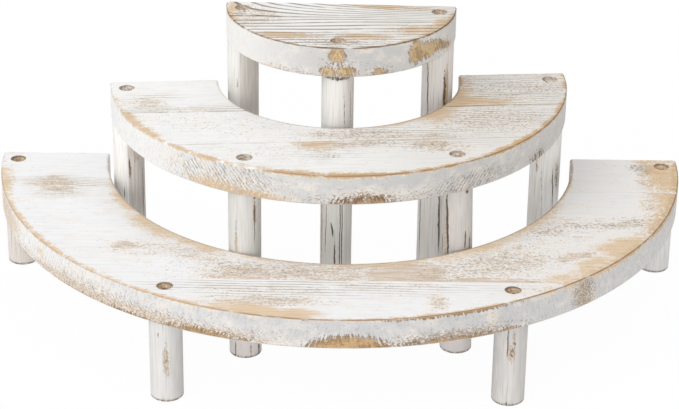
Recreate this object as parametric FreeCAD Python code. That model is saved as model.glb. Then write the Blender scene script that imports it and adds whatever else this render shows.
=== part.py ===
"""Tiered display stand: three free-standing half-round risers that nest in one another.

Each riser is a half-round plank, glued up from boards, on round dowel legs. One wood
screw goes down through the plank into each leg, with its head sunk in a counterbore.
The risers stand on the floor one inside the other, each turned a little from the next.
Millimetres. +X runs to the right, +Y to the back and +Z up, and the origin is on the
floor, under the middle of the space that the three risers take up.
"""
import FreeCAD, Part
import math
import os

# Planks
plank_thickness = 26.0
bottom_radius = 300.0
middle_radius = 199.0
top_radius = 99.0
nest_gap = 6.5          # from a plank's rim to the inner edge of the plank around it
back_margin = 2.0       # the straight back edge runs this far behind the rims' centre
stave_width = 66.0      # the boards' width, counted forward from the rims' centre
front_cover = 29.5      # from the bottom plank's inner edge forward to its last glue line
corner_ease = 2.5       # rounding of the upright corners
edge_ease = 1.0         # bevel of the edges round both faces

# Heights of the three display faces above the floor
bottom_height = 100.0
middle_height = 180.0
top_height = 250.0

# Where the middle and top risers stand, from the bottom riser's centre
middle_turn = 4.8
middle_shift = (-2.1, -9.0)
top_turn = -1.6
top_shift = (-0.6, -12.0)

# Legs
leg_diameter = 27.0
end_leg_inset = 0.5     # from the rim and from the back edge to an end leg
front_leg_inset = 3.0   # from the rim to a front leg
front_leg_turn = 29.3   # degrees from straight ahead to a front leg
slanted_leg_turn = 27.4  # the middle riser's right front leg stands nearer the middle
slanted_leg_lean = 1.7  # degrees that this leg slants outwards on its way down
foot_ease = 1.5

# Screws
counterbore_diameter = 13.5
counterbore_depth = 6.0
head_diameter = 9.0
head_height = 3.0
head_flank = 1.2        # the straight part of the head's side, below its dome
recess_span = 5.0       # the cross recess, from end to end
recess_width = 1.1
recess_depth = 1.8
recess_turn = 37.0      # degrees that each screw's recess is turned from the one before
shank_diameter = 4.5
shank_clearance = 0.25
thread_root_diameter = 3.0
thread_pitch = 2.5
ridge_share = 0.5       # of the pitch that one thread ridge takes up
screw_reach = 30.0      # how far a screw goes into its leg
tip_length = 4.0
pilot_spare = 3.0       # the pilot hole is this much deeper than the screw

overrun = 5.0           # how far a cutting solid runs past what it cuts
flat_limit = 0.01       # an edge that rises less than this lies flat


def vector(x=0, y=0, z=0):
    return FreeCAD.Vector(x, y, z)


UP = vector(z=1)


class Riser:
    """One riser's sizes and its place among the others."""

    def __init__(self, name, outer, inner, height, turn, shift):
        self.name = name
        self.outer = outer
        self.inner = inner
        self.height = height
        self.underside = height - plank_thickness
        self.turn = turn
        self.shift = shift
        self.board_names = []
        self.seams = []
        self.legs = []

    def stand(self, shape):
        """Moves a shape from the rims' centre to where the riser stands."""
        shape.rotate(vector(), UP, self.turn)
        shape.translate(vector(*self.shift))
        return shape


def corner(radius, side, z):
    """Where a rim meets the straight back edge, on the left (-1) or the right (1)."""
    return vector(side * math.sqrt(radius ** 2 - back_margin ** 2), back_margin, z)


def front_arc(radius, z):
    """The rim's arc, from the left end round the front to the right end."""
    return Part.Arc(corner(radius, -1, z), vector(0, -radius, z), corner(radius, 1, z)).toShape()


def plank_outline(riser):
    """The closed outline of a riser's plank on its underside."""
    z = riser.underside
    rim = front_arc(riser.outer, z)
    if not riser.inner:
        back = Part.makeLine(corner(riser.outer, 1, z), corner(riser.outer, -1, z))
        return Part.Wire([rim, back])
    right_end = Part.makeLine(corner(riser.outer, 1, z), corner(riser.inner, 1, z))
    left_end = Part.makeLine(corner(riser.inner, -1, z), corner(riser.outer, -1, z))
    return Part.Wire([rim, right_end, front_arc(riser.inner, z), left_end])


def is_level(edge):
    return edge.BoundBox.ZLength < flat_limit


def eased_plank(riser):
    """The whole plank with its corners rounded and its edges bevelled."""
    plank = Part.Face(plank_outline(riser)).extrude(vector(z=plank_thickness))
    plank = plank.makeFillet(corner_ease, [edge for edge in plank.Edges if not is_level(edge)])
    return plank.makeChamfer(edge_ease, [edge for edge in plank.Edges if is_level(edge)])


def screw_hole(riser, place):
    """The counterbore and the clearance hole of one screw, as a cutting solid."""
    seat = riser.height - counterbore_depth
    sink = Part.makeCylinder(counterbore_diameter / 2, counterbore_depth + overrun,
                             vector(place.x, place.y, seat))
    bore_radius = shank_diameter / 2 + shank_clearance
    bore = Part.makeCylinder(bore_radius, plank_thickness + overrun,
                             vector(place.x, place.y, riser.underside - overrun))
    return sink.fuse(bore)


def board_solids(riser):
    """The plank's boards, drilled and cut apart at the glue lines, with their names."""
    plank = eased_plank(riser)
    for leg in riser.legs:
        plank = plank.cut(screw_hole(riser, leg["place"]))
    reach = riser.outer + overrun
    behind = back_margin + overrun
    boards = []
    for name, seam in zip(riser.board_names, riser.seams + [reach]):
        corner_point = vector(-reach, -seam, riser.underside - overrun)
        slab = Part.makeBox(2 * reach, seam + behind, plank_thickness + 2 * overrun, corner_point)
        behind = -seam
        pieces = plank.common(slab).Solids
        for piece in pieces:
            side = ""
            if len(pieces) > 1:
                side = "left_" if piece.CenterOfMass.x < 0 else "right_"
            boards.append((side + name, piece))
    return boards


def leg_solid(riser, leg):
    """A dowel leg, cut level at both ends, with a rounded foot and a pilot hole."""
    top = vector(leg["place"].x, leg["place"].y, riser.underside)
    radius = leg_diameter / 2
    dowel = Part.makeCylinder(radius, riser.underside + 2 * overrun, vector(top.x, top.y, -overrun))
    dowel.rotate(top, vector(y=1), -leg["lean"])
    block = Part.makeBox(2 * leg_diameter, 2 * leg_diameter, riser.underside,
                         vector(top.x - leg_diameter, top.y - leg_diameter, 0))
    dowel = dowel.common(block)
    dowel = dowel.makeFillet(foot_ease, [edge for edge in dowel.Edges if edge.BoundBox.ZMax < flat_limit])
    depth = screw_reach + pilot_spare
    pilot = Part.makeCylinder(thread_root_diameter / 2, depth + overrun, top - vector(z=depth))
    return dowel.cut(pilot).Solids[0]


def screw_profile():
    """Half of a screw's section in the XZ plane, with the head's seat at zero height."""
    head_radius = head_diameter / 2
    shank_radius = shank_diameter / 2
    root_radius = thread_root_diameter / 2
    smooth_length = plank_thickness - counterbore_depth
    length = smooth_length + screw_reach
    dome_height = head_height - head_flank
    ball_radius = (head_radius ** 2 + dome_height ** 2) / (2 * dome_height)
    half_angle = math.asin(head_radius / ball_radius) / 2
    shoulder = vector(ball_radius * math.sin(half_angle), 0,
                      head_height - ball_radius * (1 - math.cos(half_angle)))
    dome = Part.Arc(vector(z=head_height), shoulder, vector(head_radius, 0, head_flank)).toShape()
    points = [vector(head_radius, 0, head_flank), vector(head_radius, 0, 0),
              vector(shank_radius, 0, 0), vector(shank_radius, 0, -smooth_length)]
    ridges = int((screw_reach - tip_length) / thread_pitch)
    ridge_width = thread_pitch * ridge_share
    for ridge in range(ridges):
        start = -smooth_length - ridge * thread_pitch
        points.append(vector(root_radius, 0, start))
        points.append(vector(shank_radius, 0, start - ridge_width / 2))
        points.append(vector(root_radius, 0, start - ridge_width))
    points.append(vector(root_radius, 0, tip_length - length))
    points.append(vector(0, 0, -length))
    points.append(vector(0, 0, head_height))
    return Part.Wire([dome, *Part.makePolygon(points).Edges])


def screw_solid(turn):
    """A domed-head wood screw with a cross recess, its seat at the origin."""
    screw = Part.Face(screw_profile()).revolve(vector(), UP, 360)
    for slot in range(2):
        low_corner = vector(-recess_span / 2, -recess_width / 2, head_height - recess_depth)
        arm = Part.makeBox(recess_span, recess_width, recess_depth + overrun, low_corner)
        arm.rotate(vector(), UP, turn + slot * 90)
        screw = screw.cut(arm)
    return screw.Solids[0]


def end_leg(riser, side):
    """An end leg's place, tucked into the corner between the rim and the back edge."""
    gap = leg_diameter / 2 + end_leg_inset
    y = back_margin - gap
    return vector(side * math.sqrt((riser.outer - gap) ** 2 - y ** 2), y)


def front_leg(riser, turn):
    """A front leg's place, just inside the rim, turned from straight ahead."""
    reach = riser.outer - leg_diameter / 2 - front_leg_inset
    return vector(reach * math.sin(math.radians(turn)), -reach * math.cos(math.radians(turn)))


def add_leg(riser, name, place, lean=0):
    riser.legs.append({"name": name, "place": place, "lean": lean})


def describe_risers():
    """The three risers with their glue lines and their legs."""
    bottom = Riser("bottom", bottom_radius, middle_radius + nest_gap, bottom_height, 0, (0, 0))
    bottom.board_names = ["rear_board", "arm_board", "bow_board", "front_board"]
    bottom.seams = [stave_width, 2 * stave_width, bottom.inner + front_cover]
    middle = Riser("middle", middle_radius, top_radius + nest_gap, middle_height,
                   middle_turn, middle_shift)
    middle.board_names = ["rear_board", "bow_board", "front_board"]
    middle.seams = [stave_width, 2 * stave_width]
    top = Riser("top", top_radius, 0, top_height, top_turn, top_shift)
    top.board_names = ["rear_board", "front_board"]
    top.seams = [stave_width]
    for riser in (bottom, middle, top):
        add_leg(riser, "left_end", end_leg(riser, -1))
        add_leg(riser, "right_end", end_leg(riser, 1))
    add_leg(bottom, "left_front", front_leg(bottom, -front_leg_turn))
    add_leg(bottom, "right_front", front_leg(bottom, front_leg_turn))
    add_leg(middle, "left_front", front_leg(middle, -front_leg_turn))
    add_leg(middle, "right_front", front_leg(middle, slanted_leg_turn), slanted_leg_lean)
    add_leg(top, "front", front_leg(top, 0))
    return [bottom, middle, top]


def build():
    """Every piece of the stand by its node name, with the origin in place."""
    nodes = {}
    turn = 0
    for riser in describe_risers():
        for name, board in board_solids(riser):
            nodes[f"{riser.name}_{name}"] = riser.stand(board)
        for leg in riser.legs:
            nodes[f"{riser.name}_{leg['name']}_leg"] = riser.stand(leg_solid(riser, leg))
            screw = screw_solid(turn)
            turn += recess_turn
            screw.translate(leg["place"] + vector(z=riser.height - counterbore_depth))
            nodes[f"{riser.name}_{leg['name']}_screw"] = riser.stand(screw)
    box = Part.makeCompound(list(nodes.values())).optimalBoundingBox(False, False)
    for shape in nodes.values():
        shape.translate(vector(-box.Center.x, -box.Center.y))
    print("origin moved by", round(-box.Center.x, 3), round(-box.Center.y, 3))
    print("size", round(box.XLength, 2), round(box.YLength, 2), round(box.ZLength, 2))
    return nodes


os.makedirs("parts", exist_ok=True)
for node_name, node_shape in build().items():
    node_shape.exportStep(f"parts/{node_name}.step")
    print(node_name, node_shape.isValid(), round(node_shape.Volume))
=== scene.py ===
# %% [markdown]
# A tiered display stand: three half-round risers of whitewashed pine that stand one
# inside the other. Each is a plank on round dowel legs, with a screw down into each
# leg. The shapes come from the CAD model and stay where they are. This lesson gives
# them their finish: thin white paint over pine that has been sanded through at the
# edges, rubbed away in patches and cracked along the grain.

# %% Load the model
import math
from dataclasses import dataclass

import bmesh
import bpy
from mathutils import Matrix, Vector


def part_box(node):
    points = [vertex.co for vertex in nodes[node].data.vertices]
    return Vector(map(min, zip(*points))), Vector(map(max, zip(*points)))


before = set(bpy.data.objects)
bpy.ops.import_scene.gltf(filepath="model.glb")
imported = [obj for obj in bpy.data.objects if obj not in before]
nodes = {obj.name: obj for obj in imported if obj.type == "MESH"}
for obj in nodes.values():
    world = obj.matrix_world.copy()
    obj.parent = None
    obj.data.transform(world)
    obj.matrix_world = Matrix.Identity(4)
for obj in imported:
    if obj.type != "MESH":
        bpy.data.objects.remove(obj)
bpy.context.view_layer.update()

# %% [markdown]
# The patterns below are laid out in each riser's own frame, in millimetres: the rims'
# centre is the origin, X runs along the grain and Y to the back. So the first thing
# to know is where each riser stands, how far it is turned, and how large it is.

# %% The three risers
MM = 0.001
PLANK = 26.0
BOTTOM_Y = 145.278


class Riser:
    """Where one riser stands, and its sizes, in millimetres and degrees.

    A seam is a glue line: its y, and how strongly it shows.
    """

    def __init__(self, name, centre, turn, outer, inner, height, seams):
        self.name = name
        self.centre = Vector(centre)
        self.turn = math.radians(turn)
        self.back = Matrix.Rotation(-self.turn, 3, "Z")
        self.outer = outer
        self.inner = inner
        self.height = height
        self.seams = seams

    def own(self, point):
        """A point of the model, in the riser's own frame."""
        return self.back @ (point / MM - self.centre)

    def boards(self):
        return [name for name in nodes if name.startswith(self.name) and name.endswith("board")]

    def screws(self):
        """The middles of the screw holes."""
        corners = [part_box(name) for name in nodes
                   if name.startswith(self.name) and name.endswith("screw")]
        return [self.own((low + high) / 2) for low, high in corners]

    def reach(self, board):
        """The least and most x, y and degrees from the front on a board."""
        points = [self.own(point.co) for point in nodes[board].data.vertices]
        turns = [math.degrees(math.atan2(point.x, -point.y)) for point in points]
        across = [point.x for point in points]
        back_to_front = [point.y for point in points]
        return [(min(values), max(values)) for values in (across, back_to_front, turns)]


bottom = Riser("bottom", (0, BOTTOM_Y, 0), 0, 300.0, 205.5, 100.0, ((-66, 0.12), (-132, 0.08)))
middle = Riser("middle", (-2.1, 136.278, 0), 4.8, 199.0, 105.5, 180.0, ((-66, 0.9), (-132, 0.4)))
top = Riser("top", (-0.6, 133.278, 0), -1.6, 99.0, 0.0, 250.0, ((-66, 0.3),))
for riser in (bottom, middle, top):
    print(riser.name, len(riser.boards()), "boards", len(riser.screws()), "screws")

# %% [markdown]
# A material is a web of nodes, and sums of many nodes are hard to read. Here a small
# class wraps a node's output, and Python's own signs add the Math nodes, so that a
# pattern reads like the formula that it is.

# %% A node's output as a number
class Term:
    """A node's output that can be used like a number."""

    def __init__(self, finish, socket):
        self.finish = finish
        self.socket = socket

    def __add__(self, other):
        return self.finish.sum("ADD", self, other)

    def __sub__(self, other):
        return self.finish.sum("SUBTRACT", self, other)

    def __mul__(self, other):
        return self.finish.sum("MULTIPLY", self, other)

    def __truediv__(self, other):
        return self.finish.sum("DIVIDE", self, other)

    def __rsub__(self, other):
        return self.finish.sum("SUBTRACT", other, self)

    __radd__ = __add__
    __rmul__ = __mul__


# %% [markdown]
# Every other kind of node comes from one method, which sets the node's own settings
# first and its sockets after that. The methods under it name the few kinds that this
# stand needs: ramps, vectors, noise, and colours laid over one another.

# %% A material's nodes
class Finish:
    """The nodes of one material or world, with the few kinds that are needed here."""

    def __init__(self, owner):
        owner.use_nodes = True
        self.owner = owner
        self.tree = owner.node_tree
        self.tree.nodes.clear()

    def node(self, kind, settings=None, inputs=None, output=0):
        """Adds a node, sets it, fills its sockets, and gives one of its outputs."""
        made = self.tree.nodes.new("ShaderNode" + kind)
        for name, value in (settings or {}).items():
            setattr(made, name, value)
        for name, value in (inputs or {}).items():
            if isinstance(value, Term):
                self.tree.links.new(value.socket, made.inputs[name])
            else:
                made.inputs[name].default_value = value
        return Term(self, made.outputs[output]) if made.outputs else made

    def outputs(self, kind, inputs=None):
        """Adds a node and gives all its outputs by name."""
        made = self.node(kind, None, inputs).socket.node
        return {socket.name: Term(self, socket) for socket in made.outputs}

    def sum(self, operation, *values):
        return self.node("Math", {"operation": operation}, dict(enumerate(values)))

    def larger(self, first, second):
        return self.sum("MAXIMUM", first, second)

    def size(self, value):
        return self.sum("ABSOLUTE", value)

    def ramp(self, value, low, high, start=0.0, end=1.0, kind="SMOOTHSTEP"):
        """Runs from start to end while the value runs from low to high."""
        return self.node("MapRange", {"interpolation_type": kind, "clamp": True},
                         {"Value": value, "From Min": low, "From Max": high,
                          "To Min": start, "To Max": end})

    def slope(self, value, low, high, start, end):
        """The same in a straight line."""
        return self.ramp(value, low, high, start, end, "LINEAR")

    def between(self, share, first, second):
        """The first number where the share is 0 and the second where it is 1."""
        return first + (second - first) * share

    def vector(self, x, y, z):
        return self.node("CombineXYZ", None, {0: x, 1: y, 2: z})

    def length(self, vector):
        return self.node("VectorMath", {"operation": "LENGTH"}, {0: vector}, "Value")

    def dot(self, first, second):
        return self.node("VectorMath", {"operation": "DOT_PRODUCT"}, {0: first, 1: second}, "Value")

    def stretch(self, vector, sizes, shift=(0, 0, 0)):
        """A vector divided by three lengths, so that a pattern is that long each way."""
        scale = [1 / size for size in sizes]
        return self.node("VectorMath", {"operation": "MULTIPLY_ADD"},
                         {0: vector, 1: scale, 2: shift})

    def noise(self, vector, detail=3.0, roughness=0.55, output="Fac"):
        """Soft random blotches about one unit across, from 0 to 1."""
        return self.node("TexNoise", {"noise_dimensions": "3D"},
                         {"Vector": vector, "Scale": 1.0, "Detail": detail,
                          "Roughness": roughness}, output)

    def blend(self, share, first, second):
        """One colour where the share is 0 and the other where it is 1."""
        return self.node("Mix", {"data_type": "RGBA", "clamp_factor": True},
                         {0: share, 6: first, 7: second}, 2)


# %% [markdown]
# A CAD piece's object sits at the model's origin, so its Object coordinates are the
# model's own, in metres. A Mapping node turns them into the frame of a riser or a
# leg. The pattern then stays on the wood when the riser is lifted out.

# %% Places in a piece's own frame
def own_frame(finish, centre, turn):
    """The place on the piece, in millimetres, from a centre and turned with it."""
    back = Matrix.Rotation(-turn, 3, "Z")
    place = finish.outputs("TexCoord")["Object"]
    return finish.node("Mapping", {"vector_type": "POINT"},
                       {"Vector": place, "Location": -(back @ centre),
                        "Rotation": (0, 0, -turn), "Scale": [1 / MM] * 3})


def facing(finish):
    """How far the surface faces up: 1 on a top face, 0 on a wall, -1 underneath."""
    normal = finish.outputs("TexCoord")["Normal"]
    return finish.outputs("SeparateXYZ", {0: normal})["Z"]


def around(finish, x, y):
    """The degrees round from the front, less than 0 on the left."""
    return finish.sum("ARCTAN2", x, 0 - y) * (180 / math.pi)


# %% [markdown]
# A mark is the most useful pattern. It is an ellipse that says how much the paint has
# suffered there: its peak in the middle, falling to the least outside. Noise is added
# to it before a ramp turns it into bare or painted, so that a patch gets a ragged
# border, and a weak mark becomes scattered flecks. A picture could hold such patches
# too, but a few dozen marks are easier to move about, and stay sharp close up.

# %% Marks
LEAST = -1.5
MARK_CORE = 0.5
MARK_REACH = 1.9


def plane_of(finish, across, up):
    """Two lengths as a vector whose third part is 1, so that a mark can be shifted."""
    return finish.vector(across, up, 1)


def mark_field(finish, plane, mark):
    """How worn each place is by one mark: its peak inside, LEAST well outside."""
    across, up, half_width, half_height, turn, peak = mark
    cosine, sine = math.cos(math.radians(turn)), math.sin(math.radians(turn))
    if turn:
        middle_across = across * cosine + up * sine
        middle_up = up * cosine - across * sine
        wide = (cosine / half_width, sine / half_width, -middle_across / half_width)
        high = (-sine / half_height, cosine / half_height, -middle_up / half_height)
        place = finish.vector(finish.dot(plane, wide), finish.dot(plane, high), 0)
    else:
        place = finish.node("VectorMath", {"operation": "MULTIPLY_ADD"},
                            {0: plane, 1: (1 / half_width, 1 / half_height, 0),
                             2: (-across / half_width, -up / half_height, 0)})
    return finish.slope(finish.length(place), MARK_CORE, MARK_REACH, peak, LEAST)


def field_of(finish, plane, marks, field=LEAST):
    """The strongest of several marks at each place."""
    for mark in marks:
        field = finish.larger(field, mark_field(finish, plane, mark))
    return field


def near(marks, across_range, up_range):
    """The marks that reach a board, so that its material holds no others."""
    found = []
    for mark in marks:
        across, up, half_width, half_height, turn, _ = mark
        cosine, sine = math.cos(math.radians(turn)), math.sin(math.radians(turn))
        wide = MARK_REACH * math.hypot(half_width * cosine, half_height * sine)
        high = MARK_REACH * math.hypot(half_width * sine, half_height * cosine)
        if (across_range[0] < across + wide and across - wide < across_range[1]
                and up_range[0] < up + high and up - high < up_range[1]):
            found.append(mark)
    return found


# %% [markdown]
# Paint and worn wood differ in height by a small part of a millimetre. That is too
# little to model, so a Bump node turns it into shading, and the Principled shader
# takes it with the colour.

# %% The end of a material
def finished(finish, colour, roughness, height, metallic=0.0):
    """Ends a material: a shader with a bump from a height in millimetres."""
    bump = finish.node("Bump", None, {"Strength": 1.0, "Distance": MM, "Height": height})
    shader = finish.node("BsdfPrincipled", None,
                         {"Base Color": colour, "Roughness": roughness,
                          "Metallic": metallic, "Normal": bump})
    finish.node("OutputMaterial", None, {"Surface": shader})
    return finish.owner


# %% [markdown]
# Colours are easiest to judge as they look on a screen, from 0 to 255, but a shader
# wants them linear. Sanded pine is pale and only a little orange. Old pine is browner
# and greyer, and the dirt in its cracks is nearly black. The paint is warm in the
# grain. Its duller right side and the grey of the rims are painted shade, and so are
# the dark lips of the screw holes and the shadows in the saw cuts.

# %% Colours
def tone(red, green, blue):
    """A screen colour, each part from 0 to 255, as the shader's linear colour."""
    parts = [part / 255 for part in (red, green, blue)]
    linear = [part / 12.92 if part <= 0.04045 else ((part + 0.055) / 1.055) ** 2.4
              for part in parts]
    return (*linear, 1.0)


PALE_PINE = tone(226, 203, 174)
PALE_GRAIN = tone(212, 184, 148)
GOLD = tone(190, 156, 108)
STAIN_BORDER = tone(112, 86, 62)
OLD_PINE = tone(221, 207, 191)
OLD_GRAIN = tone(194, 174, 152)
# the grey below is painted shade on the outer rims
RIM_PAINTED_SHADE = tone(178, 177, 176)
RIM_BRUSH = tone(170, 166, 162)
SAW_SHADOW = tone(112, 98, 86)
DARK_FLECK = tone(126, 110, 97)
CRACK = tone(78, 62, 52)
RING = tone(128, 112, 98)
DEEP_RING = tone(104, 88, 74)
THIN_PAINT = tone(233, 226, 217)
ARRIS = tone(140, 110, 78)
HOLE_SHADE = tone(92, 74, 58)
print("pale pine, linear", [round(part, 3) for part in PALE_PINE])

# %% [markdown]
# First the places. A board needs to know four things about each point on it: where it
# is on the face, how many degrees round from the front, how high on the rim, and how
# far from the edges. The noises come next. They are long along the grain and short
# across it, and one follows the strokes of the saw on the rims, which lean outwards
# on both sides.

# %% Where a point is on a board
SAW_GAP = 3.0
SAW_LEAN = math.radians(52)
DRIFT = (16, 9)


class Place:
    """What a board's finish knows about a point, as terms, in millimetres and degrees."""

    def __init__(self, finish, riser, seed, rows):
        local = own_frame(finish, riser.centre, riser.turn)
        self.x, self.y, z = finish.outputs("SeparateXYZ", {0: local}).values()
        self.lift = z - (riser.height - PLANK)
        self.below_top = PLANK - self.lift
        self.radius = finish.length(finish.vector(self.x, self.y, 0))
        self.degrees = around(finish, self.x, self.y)
        up = facing(finish)
        self.upward = finish.ramp(up, 0.4, 0.6)
        self.level = finish.ramp(finish.size(up), 0.4, 0.6)
        self.row = rows(finish, self.x, self.y)
        self.grain = finish.vector(self.x, self.row, z + seed)
        self.rim = plane_of(finish, self.degrees, self.lift)
        self.add_grain(finish)
        self.add_saw(finish, riser.outer, seed)

    def add_grain(self, finish):
        """Noises that follow the rows of the grain, and a face pushed about by one."""
        self.fine = finish.noise(finish.stretch(self.grain, (2.3, 1.5, 1.5)), 3, 0.65)
        self.streak = finish.noise(finish.stretch(self.grain, (15, 1.5, 1.5)), 3, 0.5)
        self.hair = finish.noise(finish.stretch(self.grain, (45, 0.8, 0.8)), 2, 0.5)
        self.cloud = finish.noise(finish.stretch(self.grain, (16, 9, 9)), 3, 0.6)
        self.sway = finish.noise(finish.stretch(self.grain, (70, 16, 16)), 1)
        drift = finish.noise(finish.stretch(self.grain, (22, 12, 12)), 2, 0.5, "Color")
        middle = plane_of(finish, self.x - DRIFT[0] / 2, self.y - DRIFT[1] / 2)
        self.face = finish.node("VectorMath", {"operation": "MULTIPLY_ADD"},
                                {0: drift, 1: (*DRIFT, 0), 2: middle})

    def add_saw(self, finish, outer, seed):
        """Leaning strokes of the saw, and upright teeth torn out along the edges."""
        along = finish.size(self.degrees) * (outer * math.pi / 180)
        stroke = along * math.cos(SAW_LEAN) + self.lift * math.sin(SAW_LEAN)
        beside = self.lift * math.cos(SAW_LEAN) - along * math.sin(SAW_LEAN)
        waver = finish.noise(finish.vector(stroke / 6, beside / 1.3, seed), 2, 0.5)
        phase = finish.sum("FRACT", beside / SAW_GAP + waver * 2.2)
        self.strokes = finish.ramp(finish.size(phase - 0.5), 0.04, 0.22, 1.0, 0.0)
        upright = finish.vector((along + self.lift * 0.3) / 1.5, self.lift / 9, seed)
        self.teeth = finish.noise(upright, 3, 0.5)


# %% [markdown]
# The rows of the grain are straight on most boards. The small top plank was sawn
# nearer the side of the tree: its growth rings arch over the rear half and run
# straight in front.

# %% Rows of grain
def straight_rows(finish, x, y):
    return y + x * 0.012


def arched_rows(finish, x, y):
    behind = finish.slope(y, -36, 2, 0.0, 1.0)
    arch = x * 0.29 - x * x * 0.00117 + 15
    return y - x * 0.08 + behind * (arch + x * 0.08)


# %% [markdown]
# The paint is rubbed through in two ways. Sanding has laid bare the edges and some
# patches down to clean pale pine. Elsewhere the brush has skipped over rough grain,
# and older, browner wood shows as flecks. Both start from the marks, to which noise
# is added. A band is a mark too, on a plane of degrees and distance from the edge.

# %% How worn a board is
@dataclass
class Wear:
    """The marks on one board's face, and how its grain shows."""
    sanded: tuple = ()
    flecked: tuple = ()
    ringed: tuple = ()
    dirty: tuple = ()
    base: float = -1.4  # how flecked it is away from the marks
    rings: float = 4.0  # millimetres from one growth ring to the next
    ring_base: float = 0.0  # how much the rings show away from the marks
    grain: float = 0.3
    speckled: float = 0.0  # 0 for borders of long streaks, 1 for specks
    sway: float = 2.0  # how far the rings wander, in rings
    bold: float = 0.0


@dataclass
class Rim:
    """The marks round one riser, in degrees from the front, and its paint."""
    sanded: tuple
    flecked: tuple
    stained: tuple
    dirty: tuple
    sawn: tuple
    outer_band: tuple
    inner_band: tuple
    # the right paint is duller as painted shade, away from the light on the left
    left: tuple  # the paint on the left, and then on the right
    right: tuple
    turn: tuple  # the two x between which the one becomes the other
    # the holes' wood is made paler as painted light, and the darkness of their lip is painted shade
    hole: tuple  # the wood in the screw holes, and how dark their lip is
    lip: float
    gold: tuple  # from which degrees to which the bare wood turns golden, and how much
    specks: float
    brushed: float
    stain: tuple
    base: float = -1.4
    arris: tuple = (0.5, 1.0)  # how dark the arris is on the left and in front
    arris_tone: tuple = ARRIS


# %% [markdown]
# Every step below needs the same things: the nodes, the place, the board's marks and
# how far it reaches. They are kept together while the board is finished. Marks on the
# face have to stay off the rim, and the other way round, so a large number is taken
# away from each where it doesn't belong.

# %% One board in the making
AWAY = 4.0


class Board:
    """What is known of one board while its finish is made."""

    def __init__(self, name, riser, wear, rim, rows):
        self.riser, self.wear, self.rim = riser, wear, rim
        self.finish = Finish(bpy.data.materials.new(name + "_wood"))
        seed = sum(ord(letter) for letter in name) % 53
        self.place = Place(self.finish, riser, seed, rows)
        self.across, self.back_to_front, self.turns = riser.reach(name)
        self.only_face = (self.place.upward - 1) * AWAY
        on_wall = self.finish.ramp(self.place.radius, riser.inner + 40, riser.inner + 42,
                                   -AWAY, 0.0)
        self.only_rim = self.place.level * -AWAY + on_wall

    def reached(self, marks):
        """The marks that reach this board's face."""
        return near(marks, self.across, self.back_to_front)

    def rounded(self, marks):
        """The marks round the riser that reach this board's rim."""
        return near(marks, self.turns, (0, PLANK))

    def on_face(self, marks, field=LEAST):
        return field_of(self.finish, self.place.face, marks, field) + self.only_face

    def on_rim(self, marks, field=LEAST):
        return field_of(self.finish, self.place.rim, marks, field) + self.only_rim


# %% [markdown]
# An edge is rubbed before a face is, so every edge is bare in a narrow line, and some
# stretches are bare in a wide band. How far a point lies from an edge is the larger
# of two distances, to the rim and to the face, so the wear runs round the corner.

# %% Rubbed edges
def edge_wear(board):
    """How far the edges are rubbed: narrow everywhere, wider in each band."""
    finish, place, riser = board.finish, board.place, board.riser
    from_outer = finish.larger(riser.outer - place.radius, place.below_top)
    wear = finish.slope(from_outer, 0.3, 3.0, 0.1, LEAST)
    from_back = finish.larger(2 - place.y, place.below_top)
    wear = finish.larger(wear, finish.slope(from_back, 0.2, 2.2, -0.2, LEAST))
    bands = near(board.rim.outer_band, board.turns, (0, 0))
    into = finish.larger(riser.outer - place.radius, place.below_top * 2.4)
    wear = field_of(finish, plane_of(finish, place.degrees, into), bands, wear)
    wear = wear + (place.fine + place.cloud - 1.0) * 2.5
    arris = finish.ramp(from_outer, 0.5, 1.4, 1.0, 0.0)
    if riser.inner:
        from_inner = finish.larger(place.radius - riser.inner, place.below_top)
        wear = finish.larger(wear, finish.slope(from_inner, 0.3, 2.4, 0.0, LEAST))
        bands = near(board.rim.inner_band, board.turns, (0, 0))
        wear = field_of(finish, plane_of(finish, place.degrees, from_inner), bands, wear)
        arris = finish.larger(finish.ramp(from_inner, 1.4, 3.0, 0.6, 0.0), arris)
    return wear, arris


# %% [markdown]
# The face, the rim and the edges each say how worn a point is, and the strongest of
# them holds. Nothing is ragged yet: that comes from noise, which is long along the
# grain on a face and upright on a rim.

# %% Worn places
def worn_places(board, edge):
    """How far each place is sanded and how far it is flecked, before the noise."""
    finish, wear, rim = board.finish, board.wear, board.rim
    sanded = board.on_face(wear.sanded)
    if board.rounded(rim.sanded):
        sanded = finish.larger(sanded, board.on_rim(board.rounded(rim.sanded)))
    flecked = finish.larger(board.on_face(wear.flecked, wear.base), rim.base)
    if board.rounded(rim.flecked):
        flecked = finish.larger(flecked, board.on_rim(board.rounded(rim.flecked)))
    return finish.larger(sanded, edge), flecked


def ragged(board):
    """Noise for ragged borders on the rim, and on rim and face together."""
    place, spread = board.place, board.wear.speckled
    on_face = (place.fine * (0.3 + 0.4 * spread) + place.streak * (0.35 - 0.3 * spread)
               + place.cloud * (0.35 - 0.1 * spread) - 0.5) * (4.5 + 1.5 * spread)
    on_rim = (place.fine * 0.5 + place.teeth * 0.5 - 0.5) * 5
    return on_rim, board.finish.between(place.level, on_rim, on_face)
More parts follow.
